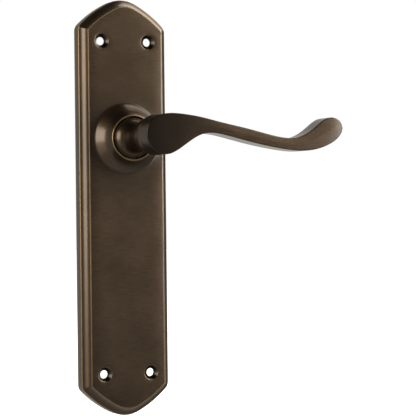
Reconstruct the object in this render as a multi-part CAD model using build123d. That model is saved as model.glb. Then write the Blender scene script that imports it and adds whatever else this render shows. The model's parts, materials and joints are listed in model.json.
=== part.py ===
from build123d import *
import math
import os

# Lever door handle on a long shaped backplate, with its own return spring.
# Millimetres. The origin is where the spindle axis meets the door face.
# +X runs along the lever, +Y goes into the door, +Z is up, and the front of the handle faces -Y.
# "Depth" below means the distance in front of the door face, so a depth of 10 is y = -10.

os.makedirs("parts", exist_ok=True)

# ---- backplate ----
PLATE_WIDTH = 45.0
PLATE_HEIGHT = 200.0
AXIS_ABOVE_CENTRE = 33.0        # the spindle sits this far above the plate's middle
APEX_RADIUS = 15.1              # small arc over each end of the plate
APEX_HALF_ANGLE = 26.4          # degrees each side of vertical
FLANK_RADIUS = 54.6             # long arc from the apex arc down to the shoulder
FLANK_END_ANGLE = 47.2          # degrees from vertical where the flank meets the side
SHOULDER_ROUNDING = 5.4
EDGE_DEPTH = 5.8                # height of the plain outer side
FIELD_DEPTH = 10.0              # the flat front of the plate
BORDER_WIDTH = 3.5              # the moulded cove between side and field
COVE_BULGE = 0.75               # how far the cove hollows behind its chord
CAVITY_DEPTH = 7.2              # the cast plate is hollow behind
CAVITY_INSET = 4.6
FIXING_SPACING_X = 24.0
FIXING_SPACING_Z = 159.4
FIXING_HOLE_RADIUS = 1.95
COUNTERSINK_RADIUS = 3.6
COUNTERSINK_ANGLE = 90.0

# ---- boss on the plate, and the bearing in it ----
# (radius, depth) up the bell-shaped boss, from where it leaves the field to just under its lip.
BOSS_BELL = [
    (18.0, 10.0), (16.5, 10.42), (15.8, 10.95), (14.5, 12.3), (13.3, 13.75), (12.2, 15.6),
    (11.45, 17.6), (11.0, 19.0),
]
BOSS_LIP_DEPTH = 19.4
BOSS_LIP_ROUNDING = 0.4
LIP_BORE_RADIUS = 10.2
LIP_BORE_FLOOR = 15.6
BUSH_RADIUS = 9.0
BUSH_WALL = 1.95
BUSH_FLANGE_RADIUS = 9.9
BUSH_FLANGE_THICKNESS = 0.9
BUSH_REAR_DEPTH = 10.2

# ---- lever ----
RUNNING_CLEARANCE = 0.05
FIT_CLEARANCE = 0.1             # between parts that only sit beside each other
OVERCUT = 1.0                   # how far a cutting shape reaches past the metal it cuts
JOURNAL_RADIUS = BUSH_RADIUS - BUSH_WALL - RUNNING_CLEARANCE
NECK_WASHER_THICKNESS = 0.5
SEAT_GAP = 0.02                 # air behind the washer, so the two plastics aren't drawn as one
FLANGE_BACK = LIP_BORE_FLOOR + BUSH_FLANGE_THICKNESS + NECK_WASHER_THICKNESS + RUNNING_CLEARANCE
# (radius, depth) round the edge of the neck flange, then up the waisted neck to the head.
NECK_FLANGE = [(9.8, 18.35), (9.42, 18.82), (9.05, 18.92), (8.95, 19.15)]
NECK_CURVE = [(8.5, 19.75), (7.75, 20.7), (7.1, 22.0), (6.55, 24.5), (6.25, 28.5), (6.9, 33.5), (8.3, 38.5)]
HEAD_RADIUS = 9.4
ARM_BACK_DEPTH = 46.0
ARM_FRONT_DEPTH = 57.5
ARM_EDGE_ROUNDING = 0.5
SPINDLE_SOCKET = 8.1            # across flats, for an 8 mm square spindle
SOCKET_DEPTH = 24.0
SHANK_FLATS = 11.8              # across the two flats that drive the cam
SHANK_REAR_DEPTH = 0.3

# Lever outline seen from the front: along the top from the head, round the upturned tip,
# back along the underside, and round the head. A closed smooth curve runs through the points.
LEVER_OUTLINE = [
    (0.0, 9.4), (9.0, 9.3), (17.0, 8.2), (27.0, 6.0), (42.0, 2.9), (55.0, -0.1), (62.0, -1.2),
    (68.0, -0.9), (74.5, 1.8), (80.0, 5.8), (85.6, 8.7), (90.8, 7.3), (92.5, 3.6), (90.8, -0.1),
    (85.8, -3.8), (79.0, -6.3), (71.0, -7.3), (60.0, -6.4), (45.0, -3.7), (33.0, -0.9),
    (25.5, 0.5), (19.5, 0.3), (13.2, -2.6), (7.2, -6.6), (0.0, -9.4), (-6.6, -6.6),
    (-9.4, 0.0), (-6.6, 6.6),
]

# ---- spring cassette behind the boss ----
CUP_RADIUS = 14.5
CUP_WALL = 0.8
CUP_BORE_CLEARANCE = 0.4
CUP_FLOOR_DEPTH = 10.1
COVER_BACK_DEPTH = 2.4
COVER_THICKNESS = 0.8
COVER_FRONT_DEPTH = COVER_BACK_DEPTH + COVER_THICKNESS
COVER_RADIUS = 15.5
COVER_HOLE_RADIUS = 7.2
EAR_OFFSET = 19.0               # cover screws above and below the axis
EAR_RADIUS = 3.4
COVER_SCREW_HOLE_RADIUS = 1.65
POST_RADIUS = 3.2
POST_ROOT = 0.5                 # how far a post runs into the front wall
TAP_DEPTH = 3.5
SCREW_RADIUS = 1.5
SCREW_HEAD_RADIUS = 2.7
SCREW_HEAD_HEIGHT = 1.1
SCREW_LENGTH = 4.0
THREAD_ENGAGEMENT = 0.02
SCREW_HEAD_ROUNDING = 0.5
RECESS_LENGTH, RECESS_WIDTH, RECESS_DEPTH = 2.8, 1.4, 0.55
CAM_RADIUS = 8.6
CAM_THICKNESS = 2.4
KEYING_CLEARANCE = 0.04         # all round the shank where it drives the cam
CAM_BACK_DEPTH = COVER_FRONT_DEPTH + FIT_CLEARANCE
LUG_RADIUS = 10.9
LUG_ANGLE_AT_REST = 120.0       # degrees from +X towards +Z
LUG_HALF_ANGLE = 14.0
LEVER_TRAVEL = 55.0             # degrees from rest to fully pressed
STOP_PIN_RADIUS = 0.9
STOP_PIN_CIRCLE = 9.7
STOP_PIN_LENGTH = 2.2
STOP_CLEARANCE = 0.35           # degrees of air between the lug and a stop at each end
DRIVE_PIN_RADIUS = 0.75
DRIVE_PIN_CIRCLE = 9.75
DRIVE_PIN_LENGTH = 3.3          # in front of the cam
WIRE_RADIUS = 0.75
SPRING_MEAN_RADIUS = 12.3
SPRING_PITCH = 1.56
SPRING_BACK_DEPTH = COVER_FRONT_DEPTH + WIRE_RADIUS + FIT_CLEARANCE
LEG_CLEARANCE = 0.08            # between a spring leg and the pin beside it
SPRING_LEG_RADIUS = 9.6         # how far in towards the axis each leg reaches
SPRING_TURNS = 2.75
ANCHOR_PIN_LENGTH = 2.4

# ---- retaining stack on the end of the shank ----
FACE_CLEARANCE = 0.03
WASHER_OUTER_RADIUS = 9.6
WASHER_BORE_RADIUS = 7.15
THRUST_THICKNESS = 0.4
DISC_OUTER_RADIUS = 9.2
DISC_THICKNESS = 0.25
DISC_DISH = 0.2
GROOVE_LAND = 0.35              # metal left behind the circlip groove
CIRCLIP_THICKNESS = 0.8
CIRCLIP_RADIUS = 8.3
CIRCLIP_GROOVE_RADIUS = 6.3
CIRCLIP_GAP_HALF = 14.0
CIRCLIP_LUG_HALF = 10.0
CIRCLIP_LUG_CIRCLE = 8.2
CIRCLIP_LUG_RADIUS = 1.35
CIRCLIP_HOLE_RADIUS = 0.6
CIRCLIP_GAP_ANGLE = 270.0       # the gap opens downwards


# ---- shared helpers ----
def polar(radius, angle):
    """Point on a circle about the spindle axis, in the front view."""
    return radius * math.cos(math.radians(angle)), radius * math.sin(math.radians(angle))


def turned(points):
    """Solid of revolution about the spindle axis from (radius, depth) points."""
    profile = make_face(Polyline([(r, -d) for r, d in points], close=True))
    return revolve(profile, Axis.Y)


def rod(radius, back, front, x=0.0, z=0.0):
    """Round bar along the spindle direction between two depths."""
    middle = Location((x, -(back + front) / 2, z), (90, 0, 0))
    return middle * Cylinder(radius, front - back)


def tube(outer, inner, back, front):
    """Plain ring about the spindle axis between two depths."""
    return rod(outer, back, front) - rod(inner, back - OVERCUT, front + OVERCUT)


def front_plane(depth):
    """Plane parallel to the door whose own x, y and z are +X, +Z and forwards."""
    return Plane(origin=(0, -depth, 0), x_dir=(1, 0, 0), z_dir=(0, -1, 0))


def front_prism(face, back, front):
    """Extrude a face drawn in the front view from one depth to another."""
    return extrude(front_plane(back) * face, front - back, dir=(0, -1, 0))


# ---- backplate ----
def plate_end():
    """Half of the top end: apex arc, flank arc and the shoulder corner, as edges and corner point."""
    apex_top = Vector(0, PLATE_HEIGHT / 2)
    apex_centre = apex_top - Vector(0, APEX_RADIUS)
    lean = math.radians(APEX_HALF_ANGLE)
    join = apex_centre + Vector(math.sin(lean), math.cos(lean)) * APEX_RADIUS
    flank_centre = join - Vector(math.sin(lean), math.cos(lean)) * FLANK_RADIUS
    middle = math.radians((APEX_HALF_ANGLE + FLANK_END_ANGLE) / 2)
    flank_middle = flank_centre + Vector(math.sin(middle), math.cos(middle)) * FLANK_RADIUS
    reach = math.asin((PLATE_WIDTH / 2 - flank_centre.X) / FLANK_RADIUS)
    shoulder = flank_centre + Vector(math.sin(reach), math.cos(reach)) * FLANK_RADIUS
    apex_arc = ThreePointArc((-join.X, join.Y), apex_top, join)
    flank_arc = ThreePointArc(join, flank_middle, shoulder)
    return apex_arc, flank_arc, shoulder


def plate_outline():
    """The plate's front outline, centred on the spindle axis, as a face."""
    apex_arc, flank_arc, shoulder = plate_end()
    top = Curve() + [apex_arc, flank_arc, mirror(flank_arc, Plane.YZ)]
    bottom = mirror(top, Plane.XZ)
    right = Line((shoulder.X, shoulder.Y), (shoulder.X, -shoulder.Y))
    left = mirror(right, Plane.YZ)
    face = make_face(Curve() + [top, bottom, right, left])
    corners = face.vertices().filter_by(lambda v: abs(abs(v.X) - shoulder.X) < 0.01)
    rounded = fillet(corners, SHOULDER_ROUNDING)
    return Pos(0, -AXIS_ABOVE_CENTRE) * rounded


def border_cutter(outline):
    """The cove moulding that runs all round the front edge, as the solid to take away."""
    start = Vector(PLATE_WIDTH / 2, -EDGE_DEPTH, 0)
    end = Vector(PLATE_WIDTH / 2 - BORDER_WIDTH, -FIELD_DEPTH, 0)
    chord = (end - start).normalized()
    hollow = (start + end) / 2 + Vector(chord.Y, -chord.X, 0) * -COVE_BULGE
    outside, ahead = PLATE_WIDTH / 2 + OVERCUT, -FIELD_DEPTH - OVERCUT
    cove = ThreePointArc(start, hollow, end)
    rest = Polyline(end, (end.X, ahead, 0), (outside, ahead, 0), (outside, -EDGE_DEPTH, 0), start)
    profile = make_face(Curve() + [cove, rest])
    path = front_plane(0) * outline.face().outer_wire()
    return sweep(Pos(0, 0, -AXIS_ABOVE_CENTRE) * profile, path=path, transition=Transition.RIGHT)


def boss_blank():
    """The bell-shaped boss with its rounded lip, turned about the spindle axis."""
    bell = [(radius, -depth) for radius, depth in BOSS_BELL]
    foot_radius, lip_radius, front = BOSS_BELL[0][0], BOSS_BELL[-1][0], -BOSS_LIP_DEPTH
    inside_field = -FIELD_DEPTH + OVERCUT
    foot = Polyline((0, inside_field), (foot_radius, inside_field), bell[0])
    flare = Spline(*bell, tangents=[(-1, 0), (0, -1)])
    middle = BOSS_LIP_ROUNDING * (1 - math.sqrt(0.5))
    lip_top = (lip_radius - BOSS_LIP_ROUNDING, front)
    lip = ThreePointArc(bell[-1], (lip_radius - middle, front + middle), lip_top)
    rest = Polyline(lip_top, (0, front), (0, inside_field))
    return revolve(make_face(Curve() + [foot, flare, lip, rest]), Axis.Y)


def fixing_hole(x, z):
    """One countersunk fixing hole through the front wall."""
    slope = math.tan(math.radians(COUNTERSINK_ANGLE / 2))
    sink_depth = (COUNTERSINK_RADIUS - FIXING_HOLE_RADIUS) / slope
    sink = Cone(FIXING_HOLE_RADIUS, COUNTERSINK_RADIUS, sink_depth)
    placed = Location((x, -FIELD_DEPTH + sink_depth / 2, z), (90, 0, 0)) * sink
    return rod(FIXING_HOLE_RADIUS, 0, FIELD_DEPTH + OVERCUT, x, z) + placed


def make_backplate():
    """Cast plate with its boss, hollow back, cassette posts and fixing holes."""
    outline = plate_outline()
    cavity = offset(outline, -CAVITY_INSET, kind=Kind.INTERSECTION)
    plate = front_prism(outline, 0, FIELD_DEPTH) - border_cutter(outline)
    plate = plate + boss_blank()
    plate = plate - front_prism(cavity, -OVERCUT, CAVITY_DEPTH)
    plate = plate - rod(CUP_RADIUS, CAVITY_DEPTH - OVERCUT, CUP_FLOOR_DEPTH)
    plate = plate - rod(BUSH_RADIUS, CUP_FLOOR_DEPTH - OVERCUT, LIP_BORE_FLOOR + OVERCUT)
    plate = plate - rod(LIP_BORE_RADIUS, LIP_BORE_FLOOR, BOSS_LIP_DEPTH + OVERCUT)
    tap_front = COVER_FRONT_DEPTH + TAP_DEPTH
    for z in (-EAR_OFFSET, EAR_OFFSET):
        post = rod(POST_RADIUS, COVER_FRONT_DEPTH, CAVITY_DEPTH + POST_ROOT, 0, z)
        plate = plate + post - rod(SCREW_RADIUS, COVER_FRONT_DEPTH - OVERCUT, tap_front, 0, z)
    for x in (-FIXING_SPACING_X / 2, FIXING_SPACING_X / 2):
        for z in (-FIXING_SPACING_Z / 2, FIXING_SPACING_Z / 2):
            plate = plate - fixing_hole(x, z - AXIS_ABOVE_CENTRE)
    return plate


def make_neck_bush():
    """Flanged plastic bush pressed into the boss, in which the lever's journal turns."""
    bore = BUSH_RADIUS - BUSH_WALL
    flange_front = LIP_BORE_FLOOR + BUSH_FLANGE_THICKNESS
    return turned([
        (bore, BUSH_REAR_DEPTH),
        (BUSH_RADIUS, BUSH_REAR_DEPTH),
        (BUSH_RADIUS, LIP_BORE_FLOOR),
        (BUSH_FLANGE_RADIUS, LIP_BORE_FLOOR),
        (BUSH_FLANGE_RADIUS, flange_front),
        (bore, flange_front),
    ])


# ---- lever ----
def neck():
    """Turned neck that waists in front of the boss and flares out to the back of the head."""
    flange = [(radius, -depth) for radius, depth in NECK_FLANGE]
    top = (HEAD_RADIUS - FIT_CLEARANCE, -ARM_BACK_DEPTH - ARM_EDGE_ROUNDING)
    foot = Polyline((0, -FLANGE_BACK), (flange[0][0], -FLANGE_BACK), *flange)
    curve = [(radius, -depth) for radius, depth in NECK_CURVE]
    flare = Spline(flange[-1], *curve, top, tangents=[(-1, -1), (0.1, -1)])
    closing = Polyline(top, (0, top[1]), (0, -FLANGE_BACK))
    return revolve(make_face(Curve() + [foot, flare, closing]), Axis.Y)


def head_and_arm():
    """Round head, waved arm and upturned tip, with rounded front and back edges."""
    outline = make_face(Spline(*LEVER_OUTLINE, periodic=True))
    body = front_prism(outline, ARM_BACK_DEPTH, ARM_FRONT_DEPTH)
    return fillet(body.faces().filter_by(Axis.Y).edges(), ARM_EDGE_ROUNDING)


def shank():
    """Journal, two-flat drive and grooved end that pass through the plate."""
    body = rod(JOURNAL_RADIUS, SHANK_REAR_DEPTH, FLANGE_BACK + OVERCUT)
    flat_length = BUSH_REAR_DEPTH - SHANK_REAR_DEPTH
    flats = Box(4 * JOURNAL_RADIUS, flat_length + OVERCUT, SHANK_FLATS)
    kept = Pos(0, -(BUSH_REAR_DEPTH + SHANK_REAR_DEPTH - OVERCUT) / 2, 0) * flats
    front = rod(JOURNAL_RADIUS + OVERCUT, BUSH_REAR_DEPTH - FIT_CLEARANCE, FLANGE_BACK + 2 * OVERCUT)
    groove_back = SHANK_REAR_DEPTH + GROOVE_LAND
    groove_front = groove_back + CIRCLIP_THICKNESS + RUNNING_CLEARANCE
    groove = tube(JOURNAL_RADIUS + OVERCUT, CIRCLIP_GROOVE_RADIUS, groove_back, groove_front)
    return (body & (kept + front)) - groove


def make_lever():
    """The whole cast lever with its square spindle socket."""
    socket = Box(SPINDLE_SOCKET, SOCKET_DEPTH + OVERCUT, SPINDLE_SOCKET)
    placed = Pos(0, -(SOCKET_DEPTH - OVERCUT) / 2 - SHANK_REAR_DEPTH, 0) * socket
    return neck() + head_and_arm() + shank() - placed


def make_neck_washer():
    """Plastic washer between the neck flange and the bush."""
    back = LIP_BORE_FLOOR + BUSH_FLANGE_THICKNESS
    front = back + NECK_WASHER_THICKNESS
    outer = BUSH_FLANGE_RADIUS - 2 * FIT_CLEARANCE
    return tube(outer, JOURNAL_RADIUS + FIT_CLEARANCE, back + SEAT_GAP, front)


# ---- spring cassette ----
def make_spring_cup():
    """Pressed steel cup that sits in the back of the boss and holds the coil."""
    bore = JOURNAL_RADIUS + CUP_BORE_CLEARANCE
    return turned([
        (bore, CUP_FLOOR_DEPTH - CUP_WALL),
        (CUP_RADIUS - CUP_WALL, CUP_FLOOR_DEPTH - CUP_WALL),
        (CUP_RADIUS - CUP_WALL, COVER_FRONT_DEPTH),
        (CUP_RADIUS, COVER_FRONT_DEPTH),
        (CUP_RADIUS, CUP_FLOOR_DEPTH),
        (bore, CUP_FLOOR_DEPTH),
    ])


def make_cassette_cover():
    """Steel plate that closes the cup, with an ear above and below for its screws."""
    disc = Circle(COVER_RADIUS)
    ears = SlotCenterToCenter(2 * EAR_OFFSET, 2 * EAR_RADIUS, rotation=90)
    holes = [Pos(0, z) * Circle(COVER_SCREW_HOLE_RADIUS) for z in (-EAR_OFFSET, EAR_OFFSET)]
    face = disc + ears - Circle(COVER_HOLE_RADIUS) - holes
    return front_prism(face, COVER_BACK_DEPTH, COVER_FRONT_DEPTH)


def make_cover_screw(z):
    """Pan-head machine screw with a cross recess, through the cover into a post."""
    head_back = COVER_BACK_DEPTH - SCREW_HEAD_HEIGHT
    shaft_front = COVER_BACK_DEPTH + SCREW_LENGTH
    head = rod(SCREW_HEAD_RADIUS, head_back, COVER_BACK_DEPTH, 0, z)
    head = fillet(head.edges().group_by(Axis.Y)[-1], SCREW_HEAD_ROUNDING)
    shaft = rod(SCREW_RADIUS - THREAD_ENGAGEMENT, COVER_BACK_DEPTH - FIT_CLEARANCE, shaft_front, 0, z)
    slot = Box(RECESS_LENGTH, RECESS_WIDTH, RECESS_DEPTH)
    recess = Pos(0, -head_back, z) * (slot + Rot(0, 90, 0) * slot)
    return head + shaft - recess


def stop_pin(angle):
    """Stop pin riveted into the cover, in the path of the cam's lug."""
    x, z = polar(STOP_PIN_CIRCLE, angle)
    return rod(STOP_PIN_RADIUS, COVER_FRONT_DEPTH, COVER_FRONT_DEPTH + STOP_PIN_LENGTH, x, z)


def stop_angle(side):
    """Where a stop pin stands: side is +1 for the rest stop and -1 for the limit stop."""
    pin_half = math.degrees(math.asin(STOP_PIN_RADIUS / STOP_PIN_CIRCLE))
    reach = LUG_HALF_ANGLE + pin_half + STOP_CLEARANCE
    lug = LUG_ANGLE_AT_REST if side > 0 else LUG_ANGLE_AT_REST - LEVER_TRAVEL
    return lug + side * reach


def make_drive_cam():
    """Cam keyed on the shank's flats, with the lug that meets the stops and drives the spring."""
    flats = Rectangle(4 * JOURNAL_RADIUS, SHANK_FLATS + 2 * KEYING_CLEARANCE)
    hole = Circle(JOURNAL_RADIUS + KEYING_CLEARANCE) & flats
    first = LUG_ANGLE_AT_REST - LUG_HALF_ANGLE
    last = LUG_ANGLE_AT_REST + LUG_HALF_ANGLE
    first_corner, middle, last_corner = [polar(LUG_RADIUS, a) for a in (first, LUG_ANGLE_AT_REST, last)]
    outer = ThreePointArc(first_corner, middle, last_corner)
    sides = Polyline(last_corner, (0, 0), first_corner)
    lug = make_face(Curve() + [outer, sides])
    face = Circle(CAM_RADIUS) + lug - hole
    x, z = polar(DRIVE_PIN_CIRCLE, LUG_ANGLE_AT_REST)
    pin_hole = rod(DRIVE_PIN_RADIUS, 0, CUP_FLOOR_DEPTH, x, z)
    return front_prism(face, CAM_BACK_DEPTH, CAM_BACK_DEPTH + CAM_THICKNESS) - pin_hole


def make_drive_pin():
    """Pin pressed into the lug, which carries the moving leg of the spring."""
    x, z = polar(DRIVE_PIN_CIRCLE, LUG_ANGLE_AT_REST)
    front = CAM_BACK_DEPTH + CAM_THICKNESS + DRIVE_PIN_LENGTH
    return rod(DRIVE_PIN_RADIUS, CAM_BACK_DEPTH, front, x, z)


def spring_leg(angle, height):
    """Straight leg of the spring, from the coil in towards the axis, in the spring's own frame."""
    outer = Vector(*polar(SPRING_MEAN_RADIUS, angle), height)
    inner = Vector(*polar(SPRING_LEG_RADIUS, angle), height)
    round_face = Plane(origin=outer, z_dir=inner - outer) * Circle(WIRE_RADIUS)
    elbow = Pos(outer) * Sphere(WIRE_RADIUS)
    return extrude(round_face, (inner - outer).length) + elbow


def leg_lean():
    """Angle at the axis between a spring leg and the pin that it bears on."""
    return math.degrees(math.asin((DRIVE_PIN_RADIUS + WIRE_RADIUS + LEG_CLEARANCE) / DRIVE_PIN_CIRCLE))


def fixed_leg_angle():
    """Angle of the spring's fixed leg, from +X towards +Z."""
    return LUG_ANGLE_AT_REST - leg_lean() + 360 * SPRING_TURNS


def make_return_spring():
    """Torsion spring: fixed leg at the back on the anchor pin, moving leg in front on the drive pin."""
    height = SPRING_TURNS * SPRING_PITCH
    helix = Helix(SPRING_PITCH, height, SPRING_MEAN_RADIUS, lefthand=True)
    wire = sweep(Plane(origin=helix @ 0, z_dir=helix % 0) * Circle(WIRE_RADIUS), path=helix)
    spring = wire + spring_leg(0, 0) + spring_leg(-360 * SPRING_TURNS, height)
    return front_plane(SPRING_BACK_DEPTH) * (Rot(0, 0, fixed_leg_angle()) * spring)


def make_anchor_pin():
    """Pin riveted in the cover that holds the spring's fixed leg."""
    x, z = polar(DRIVE_PIN_CIRCLE, fixed_leg_angle() - leg_lean())
    return rod(DRIVE_PIN_RADIUS, COVER_FRONT_DEPTH, COVER_FRONT_DEPTH + ANCHOR_PIN_LENGTH, x, z)


# ---- retaining stack ----
def make_thrust_washer():
    """Flat steel washer on the shank, behind the cassette cover."""
    front = COVER_BACK_DEPTH - FACE_CLEARANCE
    return tube(WASHER_OUTER_RADIUS, WASHER_BORE_RADIUS, front - THRUST_THICKNESS, front)


def make_disc_spring():
    """Dished spring washer between the circlip and the thrust washer, which takes up end play."""
    front = COVER_BACK_DEPTH - FACE_CLEARANCE - THRUST_THICKNESS
    rim = DISC_OUTER_RADIUS
    return turned([
        (WASHER_BORE_RADIUS, front - DISC_DISH - DISC_THICKNESS),
        (rim, front - DISC_THICKNESS),
        (rim, front),
        (WASHER_BORE_RADIUS, front - DISC_DISH),
    ])


def make_circlip():
    """Open retaining ring with two plier lugs, snapped into the groove at the end of the shank."""
    ring = Circle(CIRCLIP_RADIUS) - Circle(CIRCLIP_GROOVE_RADIUS)
    reach = 2 * CIRCLIP_RADIUS
    mouth = [polar(reach, CIRCLIP_GAP_ANGLE + side * CIRCLIP_GAP_HALF) for side in (-1, 1)]
    ring = ring - make_face(Polyline((0, 0), *mouth, close=True))
    for side in (-1, 1):
        turn = side * (CIRCLIP_GAP_HALF + CIRCLIP_LUG_HALF)
        place = Pos(*polar(CIRCLIP_LUG_CIRCLE, CIRCLIP_GAP_ANGLE + turn))
        ring = ring + place * Circle(CIRCLIP_LUG_RADIUS) - place * Circle(CIRCLIP_HOLE_RADIUS)
    ring = ring - Circle(CIRCLIP_GROOVE_RADIUS)
    back = SHANK_REAR_DEPTH + GROOVE_LAND
    return front_prism(ring, back, back + CIRCLIP_THICKNESS)


# ---- all the pieces ----
def both_cover_screws():
    """The two cover screws as one group of separate solids."""
    return Compound(children=[make_cover_screw(-EAR_OFFSET), make_cover_screw(EAR_OFFSET)])


pieces = {
    "backplate": make_backplate(),
    "neck_bush": make_neck_bush(),
    "spring_cup": make_spring_cup(),
    "cassette_cover": make_cassette_cover(),
    "cover_screws": both_cover_screws(),
    "rest_stop_pin": stop_pin(stop_angle(1)),
    "limit_stop_pin": stop_pin(stop_angle(-1)),
    "spring_anchor_pin": make_anchor_pin(),
    "return_spring": make_return_spring(),
    "lever": make_lever(),
    "neck_washer": make_neck_washer(),
    "drive_cam": make_drive_cam(),
    "drive_pin": make_drive_pin(),
    "thrust_washer": make_thrust_washer(),
    "disc_spring": make_disc_spring(),
    "circlip": make_circlip(),
}

for name, piece in pieces.items():
    piece.label = name
    export_step(piece, f"parts/{name}.step")
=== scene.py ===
import json
import math
import bmesh
import bpy
import numpy as np
from mathutils import Matrix, Vector
from mathutils.geometry import delaunay_2d_cdt


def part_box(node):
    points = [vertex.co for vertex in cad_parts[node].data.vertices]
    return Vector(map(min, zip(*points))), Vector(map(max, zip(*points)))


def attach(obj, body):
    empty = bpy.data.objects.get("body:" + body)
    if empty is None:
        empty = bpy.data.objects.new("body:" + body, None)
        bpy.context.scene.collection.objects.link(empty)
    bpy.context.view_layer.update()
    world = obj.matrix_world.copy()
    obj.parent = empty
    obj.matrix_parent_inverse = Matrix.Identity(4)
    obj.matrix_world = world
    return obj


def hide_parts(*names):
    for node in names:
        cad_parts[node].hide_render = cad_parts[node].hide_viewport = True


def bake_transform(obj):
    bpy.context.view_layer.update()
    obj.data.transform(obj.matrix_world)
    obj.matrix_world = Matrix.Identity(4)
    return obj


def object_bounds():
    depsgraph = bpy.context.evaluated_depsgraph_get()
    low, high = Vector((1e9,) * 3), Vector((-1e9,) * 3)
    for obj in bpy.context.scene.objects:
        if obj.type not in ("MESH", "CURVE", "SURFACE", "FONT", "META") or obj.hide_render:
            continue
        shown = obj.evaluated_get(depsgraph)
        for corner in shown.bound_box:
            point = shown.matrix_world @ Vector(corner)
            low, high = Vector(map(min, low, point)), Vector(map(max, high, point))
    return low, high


# Looks of a lever door handle on a long backplate, in dark antique brass.
# Shapes below are in millimetres and become metres when a mesh is made. Points are (x, depth, z):
# depth is the distance in front of the door face, so depth 10 is y = -10 mm.

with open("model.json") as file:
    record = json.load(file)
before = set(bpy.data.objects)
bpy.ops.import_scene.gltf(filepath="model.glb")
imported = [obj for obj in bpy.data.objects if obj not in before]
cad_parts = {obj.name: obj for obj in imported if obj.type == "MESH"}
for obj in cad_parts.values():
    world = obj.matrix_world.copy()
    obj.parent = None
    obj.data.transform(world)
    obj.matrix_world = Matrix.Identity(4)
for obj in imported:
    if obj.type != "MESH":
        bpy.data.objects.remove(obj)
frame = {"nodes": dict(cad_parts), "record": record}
CAD_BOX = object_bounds()
MM = 0.001


def size_of(node):
    """Lowest and highest corner of a CAD node in millimetres."""
    low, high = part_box(node)
    return low / MM, high / MM


PLATE_LOW, PLATE_HIGH = size_of("backplate")
PLATE_WIDTH = PLATE_HIGH.x - PLATE_LOW.x
PLATE_HEIGHT = round(PLATE_HIGH.z - PLATE_LOW.z)
PLATE_CENTRE_Z = (PLATE_HIGH.z + PLATE_LOW.z) / 2
BOSS_LIP_DEPTH = -PLATE_LOW.y
LEVER_FRONT = -size_of("lever")[0].y

# ---- backplate sizes ----
APEX_RADIUS, APEX_HALF_ANGLE = 15.1, 26.4
FLANK_RADIUS = 54.6
SHOULDER_ROUNDING = 5.4
MITRE_SHARPENING, MITRE_ROUNDING = 8.0, 0.7     # the cove meets in a mitre at each shoulder
EDGE_DEPTH, FIELD_DEPTH = 5.8, 10.0
BORDER_WIDTH, COVE_BULGE = 3.5, 0.75
ARRIS_SOFTNESS = 0.28
FIELD_START = BORDER_WIDTH + 0.6
FIELD_ROLL_WIDTH, FIELD_ROLL_DROP = 5.0, 0.2
CAVITY_DEPTH, CAVITY_INSET = 7.2, 4.6
FIXING_X, FIXING_Z = 12.0, 79.7
FIXING_HOLE_RADIUS, COUNTERSINK_RADIUS = 1.95, 3.6
POCKET_RADIUS, POCKET_DEPTH = 14.5, 10.1
BUSH_RADIUS = 9.0
LIP_BORE_RADIUS, LIP_BORE_FLOOR = 10.2, 15.6
POST_OFFSET, POST_RADIUS, POST_HOLE_RADIUS = 19.0, 3.2, 1.5
POST_DEPTH, POST_HOLE_DEPTH = 3.2, 6.7
BOSS_EDGE = 17.6
BELL_TAIL, BELL_TAIL_RADIUS, BELL_TAIL_REACH = 0.3, 16.5, 1.3
# (radius, depth) up the bell of the boss, from the field to just under its lip.
BOSS_BELL = [(17.2, 10.17), (16.5, 10.42), (15.8, 10.95), (14.5, 12.3), (13.3, 13.75), (12.2, 15.6),
             (11.45, 17.6), (11.12, 18.75)]
LIP_OUTER_RADIUS, LIP_CROWN_RADIUS, LIP_CROWN_DROP = 11.05, 10.64, 0.42
BOSS_SIDES, HOLE_SIDES, SHANK_SIDES = 128, 48, 96      # points round each kind of ring

# ---- lever sizes ----
LEVER_OUTLINE = [
    (0.0, 9.4), (9.0, 9.3), (17.0, 8.2), (27.0, 6.0), (42.0, 2.9), (55.0, -0.1), (62.0, -1.2),
    (68.0, -0.9), (74.5, 1.8), (80.0, 5.8), (85.6, 8.7), (90.8, 7.3), (92.5, 3.6), (90.8, -0.1),
    (85.8, -3.8), (79.0, -6.3), (71.0, -7.3), (60.0, -6.4), (45.0, -3.7), (33.0, -0.9),
    (25.5, 0.5), (19.5, 0.3), (13.2, -2.6), (7.2, -6.6), (0.0, -9.4), (-6.6, -6.6),
    (-9.4, 0.0), (-6.6, 6.6),
]
ARM_BACK = 46.0
ARM_EDGE_RADIUS, BACK_EDGE_RADIUS = 0.28, 0.7
FRONT_CROWN, BACK_CROWN = 0.3, 0.4
HEAD_TILT, HEAD_TILT_END = 0.015, 26.0    # the head's face leans back a little towards its round end
CROWN_WIDTH = 8.0
FLANGE_BACK = 17.05
FLANGE_EDGE = [(9.8, 18.3), (9.76, 18.45), (9.42, 18.82), (9.28, 18.9), (9.05, 18.92), (8.95, 19.0),
               (8.5, 19.05)]
NECK_START = 18.8
NECK_CURVE = [(8.95, 19.15), (8.5, 19.75), (7.75, 20.7), (7.1, 22.0), (6.55, 24.5), (6.25, 28.5), (6.9, 33.5),
              (8.3, 38.5), (9.02, 42.5), (9.28, 45.0), (9.34, 47.5)]
NECK_JOIN_SOFTNESS, NECK_JOIN_END = 2.2, 47.0    # the blend has died out by this depth
SOCKET_HALF, SOCKET_END = 4.05, 24.3
SHANK_RADIUS, SHANK_FLAT_HALF = 7.0, 5.9
SHANK_BACK, FLATS_END = 0.3, 10.2
GROOVE_RADIUS, GROOVE_START, GROOVE_END = 6.3, 0.65, 1.5
LEVER_STEP = 0.30               # spacing of the lever mesh

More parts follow.
